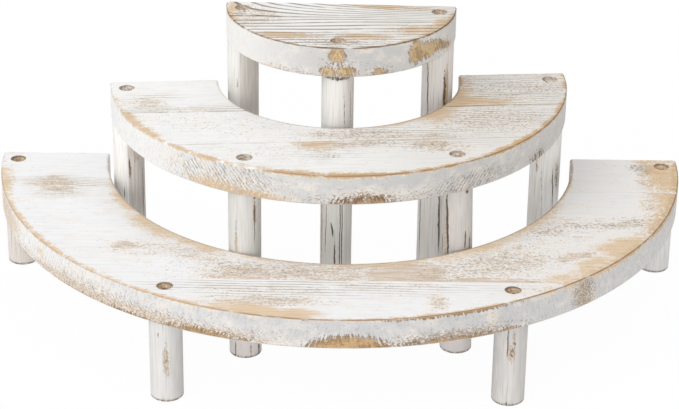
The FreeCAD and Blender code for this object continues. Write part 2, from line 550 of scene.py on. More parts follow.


# %% [markdown]
# Then the coats, one over the other: first the paint with the grain that shows
# through it, then the flecks of old wood, the dirt in them, the clean sanded wood,
# the growth rings and the stains, and last the dark edges, glue lines and holes.
#
# The paint isn't one white. It is duller towards the right and greyer on the outer
# rims, both painted shade, and a little warm where it is thin over the grain.

# %% The paint
def paint_coat(board):
    """The paint: painted shade duller to the right and grey on the rims, with the grain faint in
    it.
    """
    finish, place, rim, grain = board.finish, board.place, board.rim, board.wear.grain
    # painted shade: the paint turns duller towards the right, away from the light on the left
    coat = finish.blend(finish.ramp(place.x, *rim.turn), rim.left, rim.right)
    upright = 1 - place.level
    outer = board.riser.outer
    outside = finish.ramp(place.radius, outer - 12, outer - 6)
    outside = outside * finish.ramp(place.y, -9, -3, 1.0, 0.0)
    # painted shade: the outer rims turn grey, most at the front and least at the left
    shaded = finish.ramp(place.degrees, -75, 0, 0.05, 0.75)
    shaded = shaded - finish.ramp(place.degrees, 15, 60, 0.0, 0.35)
    rim_painted_shade = finish.between(outside, 0.3, shaded)
    coat = finish.blend(rim_painted_shade * upright, coat, RIM_PAINTED_SHADE)
    brushed = finish.ramp(place.teeth, 0.46, 0.66) * upright * rim.brushed
    coat = finish.blend(brushed, coat, RIM_BRUSH)
    warm = finish.ramp(place.fine * 0.5 + place.cloud * 0.5, 0.46, 0.62)
    coat = finish.blend(warm * (0.1 + grain * 0.3), coat, THIN_PAINT)
    hairs = finish.ramp(place.hair, 0.52, 0.68) * place.level
    return finish.blend(hairs * (0.06 + grain * 0.44), coat, RING)


# %% [markdown]
# Late wood grows dark at the end of each year, so a board shows one line for each
# ring it cuts through. The rows of the grain, divided by the width of a ring, give a
# number whose fraction runs from 0 to 1 across each ring, and the line lies in its
# middle. The strokes of the saw on the rims were made in the same way.

# %% Growth rings and saw cuts
def ring_lines(board):
    """Dark rings of late wood where the paint is thin over them, often broken."""
    finish, place, wear = board.finish, board.place, board.wear
    phase = finish.sum("FRACT", place.row / wear.rings + place.sway * wear.sway)
    line = finish.ramp(finish.size(phase - 0.5), 0.03 + 0.05 * wear.bold,
                       0.17 + 0.09 * wear.bold, 1.0, 0.0)
    whole = place.hair * 0.6 + place.cloud * 0.4 + 0.06 * wear.bold
    shown = finish.ramp(board.on_face(board.reached(wear.ringed)), -1.2, 1.0,
                        wear.ring_base, 1.0)
    return line * finish.ramp(whole, 0.38, 0.52) * shown * place.level


def saw_cuts(board):
    """The strokes of the saw where the paint hasn't filled them: brown wood and painted shadow."""
    place = board.place
    sawn = board.on_rim(board.rounded(board.rim.sawn)) + (place.fine - 0.5) * 5
    return place.strokes * board.finish.ramp(sawn, -0.2, 0.6)


# %% [markdown]
# Old wood shows as specks that are scattered rather than solid, with nearly black
# dirt caught among them. Clean wood is paler. Its lines of grain are soft, and it
# turns golden towards the right.

# %% Old and clean wood
def aged_flecks(board, flecked):
    """Where the brush skipped over old wood."""
    finish, place = board.finish, board.place
    long_noise = finish.between(place.level, place.teeth, place.streak)
    specks = (place.fine * 0.7 + long_noise * 0.3 - 0.5) * 6.5
    return finish.ramp(flecked + specks, -0.1, 0.35)


def dirt_flecks(board, flecked):
    """Where dirt has caught: round the flecks, and in dirty places of its own."""
    finish, place, wear, rim = board.finish, board.place, board.wear, board.rim
    dirty = board.on_face(board.reached(wear.dirty))
    dirty = finish.larger(dirty, board.on_rim(board.rounded(rim.dirty), rim.specks))
    dirt = finish.larger(-0.75 - finish.size(flecked - 0.3), dirty)
    grime = finish.noise(finish.stretch(place.grain, (2.6, 1.3, 1.3), (9, 4, 7)), 2, 0.6)
    return finish.ramp(dirt + (grime - 0.5) * 7, 0.0, 0.3)


def clean_pine(board):
    """Sanded wood, golden towards the right and most of all at the edge."""
    finish, place = board.finish, board.place
    lines = finish.ramp(place.hair * 0.6 + place.streak * 0.4, 0.42, 0.6)
    pine = finish.blend(lines, PALE_PINE, PALE_GRAIN)
    at_edge = finish.ramp(board.riser.outer - place.radius, 2.5, 8, 1.0, 0.45)
    return finish.blend(finish.ramp(place.degrees, *board.rim.gold) * at_edge, pine, GOLD)


# %% [markdown]
# A stain has soaked in, so it fills its whole place with two mottled browns inside a
# dark, ragged border. A board that no stain reaches gets no nodes for it, as with
# every other mark, which keeps each material small.

# %% Stains on the rim
def stained(board, colour, on_rim):
    """The colour with the rim's stains over it: mottled, with a dark torn border."""
    finish, place, rim = board.finish, board.place, board.rim
    stains = board.rounded(rim.stained)
    if not stains:
        return colour
    strength = board.on_rim(stains) + on_rim
    torn = finish.ramp(place.teeth, 0.4, 0.55, 0.3, 0.9)
    colour = finish.blend(finish.ramp(strength, -0.5, 0.0) * torn, colour, STAIN_BORDER)
    mottle = place.cloud * 0.4 + place.fine * 0.3 + place.teeth * 0.3
    fill = finish.blend(finish.ramp(mottle, 0.46, 0.56), *rim.stain)
    return finish.blend(finish.ramp(strength, -0.05, 0.2), colour, fill)


# %% [markdown]
# Thin dark lines make the shape plain: dirt along the arris of the face and in the glue
# lines, and a dark line along the foot of the rim. The walls of the screw holes are bare
# wood, made paler as painted light against the shade in the hole, with painted shade
# under the lip.

# %% Dark edges, glue lines and screw holes
HOLE_EDGE = (6.9, 7.4)


def dark_edges(board, colour, arris):
    """The colour with dirt along the arris and a thin dark line along the foot of the rim."""
    finish, place, riser, rim = board.finish, board.place, board.riser, board.rim
    arris = arris * finish.ramp(place.cloud, 0.3, 0.5, 0.4, 1.0)
    share = finish.ramp(place.x, -0.6 * riser.outer, -0.1 * riser.outer, *rim.arris)
    colour = finish.blend(arris * share, colour, rim.arris_tone)
    from_foot = finish.larger(riser.outer - place.radius, place.lift)
    patchy = finish.ramp(place.cloud, 0.36, 0.5, 0.3, 0.85)
    return finish.blend(finish.ramp(from_foot, 0.3, 1.3, 1.0, 0.0) * patchy, colour, ARRIS)


def glue_lines(board):
    """The thin lines where the boards of the panel meet."""
    finish, seam = board.finish, 0
    for seam_y, strength in board.riser.seams:
        gap = finish.size(board.place.y - seam_y)
        seam = finish.larger(seam, finish.ramp(gap, 0.2, 1.2, strength, 0.0))
    return seam


def hole_walls(board, colour):
    """The colour with bare wood in this board's screw holes, made paler as painted light, and
    painted shade under their lip.
    """
    finish, place, rim = board.finish, board.place, board.rim
    hole = 0
    for screw in board.riser.screws():
        if (board.back_to_front[0] < screw.y < board.back_to_front[1]
                and board.across[0] < screw.x < board.across[1]):
            apart = finish.length(finish.vector(place.x - screw.x, place.y - screw.y, 0))
            hole = finish.larger(hole, finish.ramp(apart, *HOLE_EDGE, 1.0, 0.0))
    wall = finish.blend(finish.ramp(place.fine, 0.44, 0.56), rim.hole, OLD_GRAIN)
    # painted shade: the top of each hole's wall, under the lip, turns dark
    lip = finish.ramp(place.below_top + place.cloud * 2, 2.2, 4.0, rim.lip, 0.0)
    wall = finish.blend(lip, wall, HOLE_SHADE)
    return finish.blend(hole * finish.ramp(place.below_top, 0.1, 0.6), colour, wall)


# %% [markdown]
# With these helpers a board's finish is a list of coats, each blended over the last.
# The order matters: a stain hides the growth rings, and a screw hole hides both. The
# roughness and the height follow the worn places, which are duller and a little lower.

# %% A board's finish
def board_finish(name, riser, wear, rim, rows):
    """One board's material, coat over coat."""
    board = Board(name, riser, wear, rim, rows)
    finish, place = board.finish, board.place
    edge, arris = edge_wear(board)
    sanded, flecked = worn_places(board, edge)
    on_rim, rough = ragged(board)
    bare = finish.ramp(sanded + rough, -0.65, 0.75)
    aged = aged_flecks(board, flecked)

    near_wear = finish.larger(sanded, flecked) + (place.cloud - 0.5) * 4
    thin = finish.ramp(near_wear, -1.3, 0.3)
    colour = finish.blend(thin * 0.55, paint_coat(board), THIN_PAINT)
    cut = saw_cuts(board)
    # the saw strokes get the brown of bare wood and painted shadow in their grooves
    colour = finish.blend(cut * 0.65, colour, SAW_SHADOW)
    old = finish.blend(finish.ramp(place.streak, 0.38, 0.62), OLD_PINE, OLD_GRAIN)
    colour = finish.blend(aged * 0.85, colour, old)
    colour = finish.blend(dirt_flecks(board, flecked) * 0.6, colour, DARK_FLECK)
    colour = finish.blend(bare * 0.9, colour, clean_pine(board))
    rings = ring_lines(board)
    colour = finish.blend(rings * 0.9, colour, DEEP_RING if wear.bold else RING)
    colour = stained(board, colour, on_rim)

    colour = dark_edges(board, colour, arris)
    seam = glue_lines(board)
    patchy = finish.ramp(place.cloud, 0.40, 0.52, 0.2, 1.0) * place.level
    colour = finish.blend(seam * patchy, colour, ARRIS)
    dash = finish.noise(finish.stretch(place.grain, (9, 0.6, 0.6), (7, 3, 1)), 1)
    dash = finish.ramp(dash, 0.75, 0.80)
    colour = finish.blend(dash * 0.6, colour, DARK_FLECK)
    colour = hole_walls(board, colour)

    worn = finish.larger(bare, aged)
    height = place.hair * 0.2 + place.fine * 0.12 - worn * 0.08 - rings * 0.15 - dash * 0.3
    height = height - cut * 0.15 - seam * 0.2
    return finished(finish, colour, finish.ramp(worn, 0, 1, 0.58, 0.7), height)


# %% [markdown]
# The bottom riser, board by board. A mark gives its middle's x and y, its half sizes,
# its turn in degrees and its peak. On the rim and along the edges it gives degrees
# from the front, with the height on the rim or the distance from the edge.
#
# Its left arm is the cleanest part of the stand, with one brown patch across a glue
# line. The right arm is sanded bare along its outer edge, and the bow is mottled.

# %% The bottom riser's marks
bottom_rim = Rim(
    sanded=((-68, 14, 5, 12, 0, 0.0), (-55.5, 14, 1.5, 5, 0, 0.2), (-78, 8, 5, 12, 0, 0.2)),
    flecked=((-74, 12, 10, 18, 0, 0.3), (-44, 8, 15, 14, 0, -0.1), (-36, 3, 22, 6, 0, 1.3),
             (-20, 4, 9, 7, 0, 0.4), (-34, 14, 12, 12, 0, -0.4), (17, 3, 10, 6, 0, 0.6),
             (41.3, 13, 2.2, 22, 6, 0.5), (24, 14, 1.0, 14, 0, 0.0), (0, 14, 30, 14, 0, -0.85),
             (60, 8, 20, 14, 0, -0.9)),
    dirty=((41.3, 13, 2.2, 18, 0, 0.35), (-30, 4, 26, 9, 0, -0.35), (18, 4, 10, 7, 0, 0.4),
           (-4, 8, 12, 10, 0, -0.8)),
    stained=((1.6, 0, 4.8, 9.0, 0, 1.5), (13, 26.5, 3.2, 3.2, 0, 0.4),
             (-5, 27, 0.8, 2.4, 0, 0.6), (9, 26.5, 3.0, 3.0, 0, 0.4),
             (21, 25.5, 7, 2.6, 0, 0.3), (17, 0, 8, 5.0, 0, 0.3),
             (26, 1, 4, 4.5, 0, 0.1), (-21, 0, 7, 6.0, 0, 0.5), (-33, -1, 9, 4.0, 0, 0.1),
             (-46, -1, 8, 3.0, 0, 0.0)),
    sawn=((-38, 6, 20, 9, 0, 0.8), (-70, 10, 8, 14, 0, 0.2), (-20, 5, 9, 7, 0, 0.8),
          (18, 4, 10, 6, 0, 0.6), (41.3, 13, 2.4, 18, 0, 1.2)),
    outer_band=((-79, 0, 7, 9, 0, 0.7), (-58, 0, 20, 4, 0, 0.7), (-28, 0, 14, 3.4, 0, 0.6),
                (16, 0, 16, 2.8, 0, 0.7), (48, 0, 13, 10, 0, 0.6), (66, 0, 10, 12, 0, 0.6),
                (84, 0, 12, 20, 0, 0.7)),
    inner_band=((-63, 0, 12, 8, 0, 0.5), (-47, 0, 12, 15, 0, 0.6), (-34, 0, 9, 13, 0, 0.5),
                (-16, 0, 14, 6, 0, 0.4), (12, 0, 16, 8, 0, 0.5), (33, 0, 14, 14, 0, 0.5),
                (52, 0, 13, 10, 0, 0.5), (72, 0, 10, 4, 0, 0.3)),
    left=tone(239, 239, 240), right=tone(228, 226, 224), turn=(60, 240),
    hole=tone(244, 222, 192), lip=0.65, gold=(20, 85, 0.1, 1.0), specks=-1.05, brushed=0.4,
    stain=(tone(190, 157, 114), tone(152, 121, 84)))
bottom_wear = {
    "bottom_left_rear_board": Wear(
        sanded=((-250, -64.5, 32, 1.5, 0, 0.3),),
        flecked=((-248, -57, 19, 9, 0, 0.5), (-246, -60, 34, 14, 0, -0.25)),
        ringed=((-246, -60, 36, 12, 0, 1.0),), rings=3.0, grain=0.1),
    "bottom_left_arm_board": Wear(
        sanded=((-250, -67.5, 30, 1.5, 0, 0.2),),
        flecked=((-243, -72, 16, 8, 0, 0.2), (-243, -82, 24, 13, 0, -0.25),
                 (-192, -90, 12, 26, 20, -0.4)),
        ringed=((-243, -76, 24, 12, 0, 0.5),), rings=3.0, grain=0.1),
    "bottom_bow_board": Wear(
        sanded=((236, -170, 24, 15, 28, 0.8), (207, -204, 22, 13, 42, 0.5),
                (184, -227, 22, 8, 10, 0.3)),
        flecked=((-176, -178, 15, 8, 0, 0.35), (-160, -181, 42, 18, 0, -0.15),
                 (-118, -192, 44, 15, -25, 0.0), (-78, -228, 32, 22, 0, 0.5),
                 (-20, -226, 62, 24, 0, 0.3), (54, -226, 27, 22, 0, 1.8),
                 (30, -208, 56, 6, 0, 0.8), (128, -206, 62, 30, 24, 0.05),
                 (112, -234, 56, 7, 0, 1.0), (145, -178, 20, 9, 30, 0.1),
                 (194, -188, 24, 8, 24, 0.4), (185, -150, 60, 20, 20, -0.3)),
        dirty=((212, -134, 44, 4, 0, 0.0), (176, -142, 26, 10, 15, -0.2),
               (120, -205, 60, 26, 20, -0.35), (-70, -215, 60, 18, 0, -0.4)),
        grain=0.15, speckled=0.8),
    "bottom_front_board": Wear(
        sanded=((-66, -287, 36, 11, -14, 0.9), (-36, -291, 19, 9, -6, 1.0)),
        flecked=((-60, -270, 46, 10, 0, 0.3), (-55, -252, 70, 10, 0, -0.3),
                 (78, -268, 9, 14, 0, 0.2), (150, -248, 20, 10, 0, -0.2),
                 (40, -244, 70, 8, 0, -0.4), (60, -262, 40, 14, 0, -0.7)),
        ringed=((-40, -247, 96, 13, 0, 1.2), (60, -245, 80, 8, 0, 0.2)),
        rings=4.2, grain=0.12, sway=0.7),
    "bottom_right_arm_board": Wear(
        sanded=((284, -84, 13, 26, 6, 0.7), (275, -122, 10, 14, 20, 0.3)),
        flecked=((268, -96, 13, 36, 6, 0.1), (246, -128, 30, 9, 0, 0.2),
                 (200, -125, 44, 10, 0, -0.2)),
        dirty=((222, -130, 46, 4, 0, 0.0), (250, -122, 20, 8, 0, -0.2)),
        grain=0.12, speckled=0.9),
    "bottom_right_rear_board": Wear(
        sanded=((286, -30, 16, 34, 0, 0.8), (282, -2, 22, 4, 0, 0.4)),
        flecked=((270, -36, 10, 34, 0, 0.3),),
        dirty=((272, -17, 12, 11, 0, 0.7), (284, -30, 8, 30, 0, -0.1)),
        grain=0.12, speckled=0.9),
}
print(len(bottom_wear), "bottom boards")

# %% [markdown]
# The middle riser is greyer and rougher. Its grain shows as fine lines everywhere,
# and most of all on the right arm, where the sanding has also gone through.

# %% The middle riser's marks
middle_rim = Rim(
    sanded=((-34, 4, 9, 6, 8, 0.4), (-25, 2, 9, 5, 0, 0.5)),
    flecked=((-46, 12, 7, 12, 0, -0.4), (-30, 10, 16, 12, 0, -0.3), (2, 5, 9, 9, 0, 0.2),
             (13, 5, 5, 9, 0, -0.3), (28, 8, 14, 11, 0, -0.7), (0, 14, 30, 12, 0, -1.0)),
    stained=((1.5, 2, 7.4, 6, 0, 0.3), (52, 3, 3.4, 7, 0, -0.1)),
    dirty=((2, 4, 7, 7, 0, 0.4), (-8, 3, 5, 6, 0, -0.3), (14, 4, 6, 6, 0, -0.3),
           (28, 6, 13, 8, 0, -0.6), (-34, 2, 14, 3, 0, -0.4)),
    sawn=((-34, 12, 15, 16, 0, 1.0), (29, 7, 12, 9, 0, 1.0), (52, 5, 4.5, 8, 0, 0.8)),
    outer_band=((-64, 0, 13, 6.5, 0, 0.7), (-40, 0, 18, 4, 0, 0.6), (-6, 0, 15, 5.6, 0, 1.0),
                (16, 0, 14, 4.4, 0, 0.9), (44, 0, 16, 5, 0, 0.9), (66, 0, 14, 4, 0, 0.7),
                (84, 0, 8, 4, 0, 0.2)),
    inner_band=((-52, 0, 12, 3, 0, -0.2), (24, 0, 14, 6, 0, 0.4),
                (44, 0, 12, 14, 0, 0.8), (62, 0, 14, 16, 0, 0.8), (82, 0, 10, 6, 0, 0.1)),
    left=tone(240, 240, 239), right=tone(222, 219, 215), turn=(-60, 150),
    hole=tone(246, 242, 236), lip=0.4, gold=(-70, 5, 0.3, 0.95), specks=-1.25, brushed=0.2,
    arris=(0.2, 1.0),
    stain=(tone(172, 142, 106), tone(120, 92, 66)))
middle_wear = {
    "middle_left_rear_board": Wear(
        flecked=((-166, -44, 15, 16, 0, 0.1), (-140, -62, 46, 5, 0, -0.2)),
        ringed=((-150, -61, 64, 8, 0, 1.5), (-160, -34, 26, 12, 0, 0.2)),
        rings=3.8, grain=0.05),
    "middle_right_rear_board": Wear(
        sanded=((104, -56, 20, 11, 0, 0.8), (124, -58, 24, 9, 0, 0.4)),
        flecked=((140, -56, 30, 10, 0, 0.0), (145, -32, 50, 20, 0, -0.4), (150, 2, 55, 5, 0, 0.2),
                 (110, -14, 10, 26, 0, 0.2), (186, -8, 16, 14, 0, -0.1)),
        dirty=((150, 3, 60, 3, 0, 0.0), (150, -30, 55, 24, 0, -0.3)),
        ringed=((140, -34, 60, 20, 0, 1.8), (120, -58, 40, 10, 0, 1.2)), rings=3.6, base=-0.9,
        ring_base=0.5, grain=0.9),
    "middle_bow_board": Wear(
        sanded=((82, -84, 18, 9, 48, 0.4),),
        flecked=((-5, -118, 48, 14, 0, -0.1), (72, -128, 22, 10, 0, 0.2), (30, -124, 60, 8, 0, 0.0),
                 (120, -95, 54, 28, 0, -0.15), (-120, -85, 50, 14, 0, -0.75),
                 (-60, -110, 40, 12, 0, -0.6)),
        dirty=((5, -118, 50, 12, 0, -0.3), (120, -95, 60, 30, 0, -0.4),
               (-100, -90, 90, 34, -20, -0.85)),
        ringed=((44, -118, 74, 12, 0, 0.8), (130, -90, 56, 24, 0, 1.0),
                (-110, -80, 70, 14, 0, -1.0)),
        rings=3.6, base=-1.1, ring_base=0.03, grain=0.1),
    "middle_front_board": Wear(
        sanded=((-26, -136, 16, 8, 0, 0.1),),
        flecked=((-26, -138, 20, 11, 0, 1.0), (10, -136, 32, 9, 0, 0.0),
                 (66, -144, 20, 11, -20, 0.3), (88, -152, 16, 12, 0, -0.1),
                 (-21, -160, 12, 8, 0, -0.5), (-80, -150, 50, 16, 0, -0.8)),
        dirty=((66, -146, 24, 10, 0, -0.3), (20, -138, 34, 8, 0, -0.4),
               (-21, -160, 10, 6, 0, -0.3), (-60, -150, 60, 20, 0, -0.9)),
        ringed=((-21, -158, 30, 12, 0, 0.2), (40, -138, 80, 8, 0, 0.4)),
        rings=3.6, base=-1.15, ring_base=0.04, grain=0.2),
}
print(len(middle_wear), "middle boards")

# %% [markdown]
# The top riser shows its growth rings most of all. Its front rim has a brown stain
# under the middle screw, and a larger one further to the right.

# %% The top riser's marks
top_rim = Rim(
    sanded=((56, 12, 12, 5, -10, 0.5), (66, 7, 8, 3.5, -10, 0.4), (-32, 2, 8, 2.5, 0, -0.1)),
    flecked=((1, 5, 10, 6, 0, 0.0), (20.5, 4, 7, 5, 0, -0.1), (-28, 3, 20, 5, 0, -0.4),
             (46, 12, 12, 12, 0, -0.3), (62, 10, 14, 8, -12, -0.2), (20, 12, 14, 12, 0, -0.9)),
    stained=((-0.3, 19, 3.8, 7.5, 0, 0.8), (-5, 4.5, 3.8, 4, 0, 0.6), (4, 4.5, 5, 4.8, 0, 0.7),
             (20.5, 3, 3.6, 3.6, 0, 0.4), (41.5, 14, 4.4, 8.5, 0, 1.3),
             (50, 12.5, 10, 6.5, -15, 0.9), (62, 9, 8, 3.5, -15, 0.1)),
    dirty=((0, 8, 9, 12, 0, -0.2), (21, 4, 7, 6, 0, -0.2), (-24, 2, 14, 4, 0, -0.3)),
    sawn=((2, 5, 9, 8, 0, 0.2), (21, 4, 6, 6, 0, 0.2), (45, 13, 10, 10, 0, 0.1)),
    outer_band=((-74, 0, 12, 6, 0, 0.8), (-40, 0, 20, 1.8, 0, 0.2), (48, 0, 14, 4.5, 0, 0.5),
                (70, 0, 16, 4.5, 0, 0.6)),
    inner_band=(),
    left=tone(240, 239, 237), right=tone(230, 228, 224), turn=(-60, 60),
    hole=tone(236, 224, 208), lip=0.35, gold=(-70, 5, 0.3, 0.8), specks=-1.4, brushed=0.1,
    stain=(tone(204, 178, 138), tone(166, 138, 102)),
    arris=(0.8, 1.0), arris_tone=tone(100, 80, 62))
top_wear = {
    "top_rear_board": Wear(
        sanded=((30, -1, 24, 6, -4, 1.0), (60, -4, 20, 5, -6, 0.3), (-94, -16, 5, 14, 0, 0.8),
                (70, -54, 20, 10, 12, 0.5), (86, -38, 6, 12, -20, 0.6)),
        flecked=((-75, -30, 30, 22, 0, 0.1), (45, -4, 46, 9, -4, 0.0), (66, -54, 30, 13, 8, 0.1),
                 (-80, -50, 20, 12, 0, -0.1), (0, -40, 90, 14, 0, -0.8)),
        dirty=((-86, -14, 14, 12, 0, -0.1),),
        ringed=((-40, -28, 70, 42, 0, 1.8), (50, -44, 60, 14, 0, 0.4), (40, -12, 70, 14, 0, 0.8)),
        rings=7.2, base=-1.0, ring_base=0.6, grain=0.3, sway=0.7, bold=0.45),
    "top_front_board": Wear(
        sanded=((-45, -72, 24, 7, 0, 0.6), (20, -71, 22, 7, 0, 0.6), (62, -66, 14, 4, 0, 0.2)),
        flecked=((-42, -72, 34, 10, 0, 0.2), (20, -72, 32, 10, 0, 0.2), (0, -88, 30, 8, 0, 0.0)),
        dirty=((0, -86, 34, 8, 0, -0.1),),
        ringed=((0, -86, 50, 10, 0, 2.0), (-40, -70, 40, 6, 0, 0.8)),
        rings=5.4, base=-0.9, ring_base=0.65, grain=0.4, sway=0.7, bold=0.4),
}
print(len(top_wear), "top boards")

# %% [markdown]
# Each board gets a material of its own, because no two of them are worn alike. It is
# put in the slot that the CAD piece came with, so the shape isn't touched.

# %% Finish the boards
for riser, rim, wears, rows in ((bottom, bottom_rim, bottom_wear, straight_rows),
                                (middle, middle_rim, middle_wear, straight_rows),
                                (top, top_rim, top_wear, arched_rows)):
    for board, wear in wears.items():
        material = board_finish(board, riser, wear, rim, rows)
        nodes[board].material_slots[0].material = material
        print(board, len(material.node_tree.nodes), "nodes")

# %% [markdown]
# The legs are dowels, whose grain runs up and down. The paint lies over it in thin
# upright streaks, and the wood has dried into dark cracks. The patterns are those of
# the boards, only on a cylinder: degrees round from the front, and the height.

# %% Where a point is on a leg
class LegPlace:
    """What a leg's finish knows about a point, as terms, in millimetres and degrees."""

    def __init__(self, finish, name):
        low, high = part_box(name)
        middle_of_leg = Vector(((low.x + high.x) / 2, (low.y + high.y) / 2, 0)) / MM
        place = own_frame(finish, middle_of_leg, 0)
        x, y, self.height = finish.outputs("SeparateXYZ", {0: place}).values()
        self.below_top = high.z / MM - self.height
        self.degrees = around(finish, x, y)
        self.end = finish.ramp(finish.size(facing(finish)), 0.5, 0.9)
        shift = [sum(ord(letter) for letter in name) % 40] * 3
        self.fine = finish.noise(finish.stretch(place, (1.2, 1.2, 3.0), shift), 3, 0.6)
        self.hair = finish.noise(finish.stretch(place, (0.45, 0.45, 50), shift), 2, 0.5)
        self.streak = finish.noise(finish.stretch(place, (1.2, 1.2, 34), shift), 3, 0.5)
        self.cloud = finish.noise(finish.stretch(place, (9, 9, 26), shift), 2, 0.5)
        wobble = finish.noise(finish.stretch(place, (60, 60, 9), shift), 3)
        self.wobble = (wobble - 0.5) * 8
        self.side = plane_of(finish, self.degrees + self.wobble, self.height)


# %% [markdown]
# The marks of a leg say where it is worn to the wood and where it has cracked. Its
# shade is painted shade on the side turned away from the light: the degrees at which
# it starts, and how grey it is. It ends well before the back, where a leg is plain again.

# %% The legs' paint and wood
LEG_WHITE = tone(244, 243, 240)
# the paler foot paint is painted light, for feet in the shade of the bottom plank
FOOT_PAINTED_LIGHT = tone(230, 222, 219)
LEG_PINE = tone(212, 194, 174)
LEG_GRAIN = tone(164, 144, 124)
LEG_GREY = tone(226, 225, 224)
# the two front paints are darker as painted shade, for front legs that the lamps reach fully
FRONT_WHITE_PAINTED_SHADE = tone(213, 212, 210)
FRONT_GREY_PAINTED_SHADE = tone(199, 196, 194)
LEG_STREAK = tone(196, 192, 187)
LEG_HAIR = tone(146, 139, 132)
LEG_SHADE = tone(197, 189, 182)


@dataclass
class Leg:
    """One leg's marks, in degrees from the front and millimetres up, and its paint."""
    streaks: tuple
    cracks: tuple
    paint: tuple
    shade: tuple = (90, 0.0)


def leg_paint(finish, place, name, leg):
    """The paint, in upright streaks, with painted shade on the side away from the light."""
    coat = finish.blend(finish.ramp(place.cloud, 0.42, 0.62) * 0.25, leg.paint, THIN_PAINT)
    coat = finish.blend(finish.ramp(place.streak, 0.5, 0.65) * 0.22, coat, LEG_STREAK)
    coat = finish.blend(finish.ramp(place.hair, 0.56, 0.68) * 0.4, coat, LEG_HAIR)
    # painted shade: the side turned away from the light turns grey
    start, strength = leg.shade
    shaded = finish.ramp(place.degrees + place.wobble * 0.4, start - 2, start + 3) * strength
    shaded = shaded * finish.ramp(place.degrees, 130, 175, 1.0, 0.0)
    shaded = shaded * finish.ramp(place.streak, 0.38, 0.58, 0.75, 1.15)
    coat = finish.blend(shaded, coat, LEG_SHADE)
    # painted light: the middle legs' feet, in the shade of the bottom plank, get paler paint
    if name.startswith("middle"):
        coat = finish.blend(finish.ramp(place.height, 15, 50, 0.9, 0.0), coat, FOOT_PAINTED_LIGHT)
    return coat


# %% [markdown]
# A leg's finish is again a list of coats. Bare wood shows through the paint, the wood
# beside each crack is darker than the rest, and the foot ends in a thin dark line.
# The sawn ends get plain wood.

# %% The legs' finish
def leg_finish(name, leg):
    """One leg's material: paint, bare wood, cracks, a dark foot and plain ends."""
    finish = Finish(bpy.data.materials.new(name + "_wood"))
    place = LegPlace(finish, name)
    near_foot = finish.slope(place.height, 0.3, 3, 0.2, LEAST)
    near_top = finish.slope(place.below_top, 0.3, 4, 0.3, LEAST)
    worn = field_of(finish, place.side, leg.streaks, -1.25)
    worn = finish.larger(worn, finish.larger(near_foot, near_top))
    rough = (place.fine * 0.5 + place.streak * 0.5 - 0.5) * 5
    bare = finish.ramp(worn + rough, -0.15, 0.4)
    split = field_of(finish, place.side, leg.cracks)
    crack = finish.ramp(split + (place.fine - 0.5) * 2, -0.2, 0.35)
    beside_crack = finish.ramp(split + (place.streak - 0.5) * 5, -1.2, 0.6)

    lines = finish.ramp(place.hair * 0.5 + place.fine * 0.5, 0.42, 0.58)
    wood = finish.blend(lines, LEG_PINE, LEG_GRAIN)
    wood = finish.blend(finish.ramp(worn, 0.6, 1.5), wood, GOLD)
    colour = finish.blend(bare * 0.85, leg_paint(finish, place, name, leg), wood)
    colour = finish.blend(beside_crack * 0.45, colour, OLD_GRAIN)
    colour = finish.blend(crack * 0.92, colour, CRACK)
    foot = finish.ramp(place.height, 1.0, 3.4, 1.0, 0.0) * finish.ramp(place.fine, 0.36, 0.52)
    colour = finish.blend(foot * 0.85, colour, CRACK)
    colour = finish.blend(place.end, colour, wood)
    height = place.hair * 0.2 + place.streak * 0.2 - bare * 0.1 - crack * 0.7
    return finished(finish, colour, 0.62, height)
